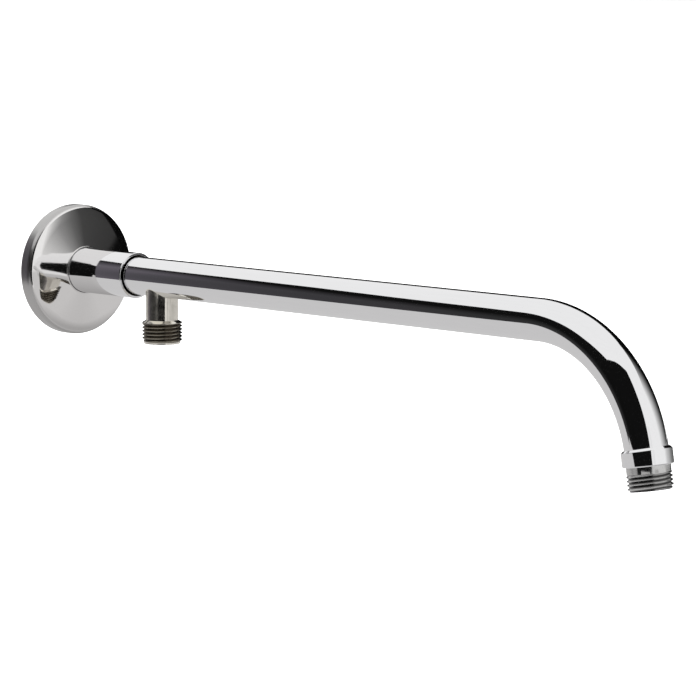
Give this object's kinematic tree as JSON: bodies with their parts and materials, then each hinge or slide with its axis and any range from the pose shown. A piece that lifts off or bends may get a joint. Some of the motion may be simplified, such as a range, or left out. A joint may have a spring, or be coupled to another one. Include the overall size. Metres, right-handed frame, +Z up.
{
  "type": "shower arm",
  "caption": "Bent wall-mounted shower arm with a sliding round wall flange, a threaded inlet, a threaded hose spigot below and a threaded outlet for a shower head.",
  "frame": {"origin": "on the arm's axis in the plane of the wall, where the flange's back rests", "axes": "+X out of the wall along the straight arm, +Z up, +Y to the left seen from the front of the wall"},
  "size_m": [0.4378, 0.0694, 0.1065],
  "materials": {
    "polished_chrome": "mirror-polished chrome plate on brass",
    "turned_nickel": "turned brass with a thin bright nickel and chrome plate",
    "ring_rubber": "moulded black nitrile rubber"
  },
  "bodies": {
    "arm": {"arm_tube": "polished_chrome", "inlet_body": "polished_chrome", "hose_spigot": "turned_nickel", "outlet_nipple": "polished_chrome"},
    "flange": {"wall_flange": "polished_chrome", "grip_ring": "ring_rubber"}
  },
  "joints": [
    {"name": "flange_slide", "type": "slide", "parent": "arm", "child": "flange", "axis": [1, 0, 0], "range_m": [0, 0.04]}
  ]
}
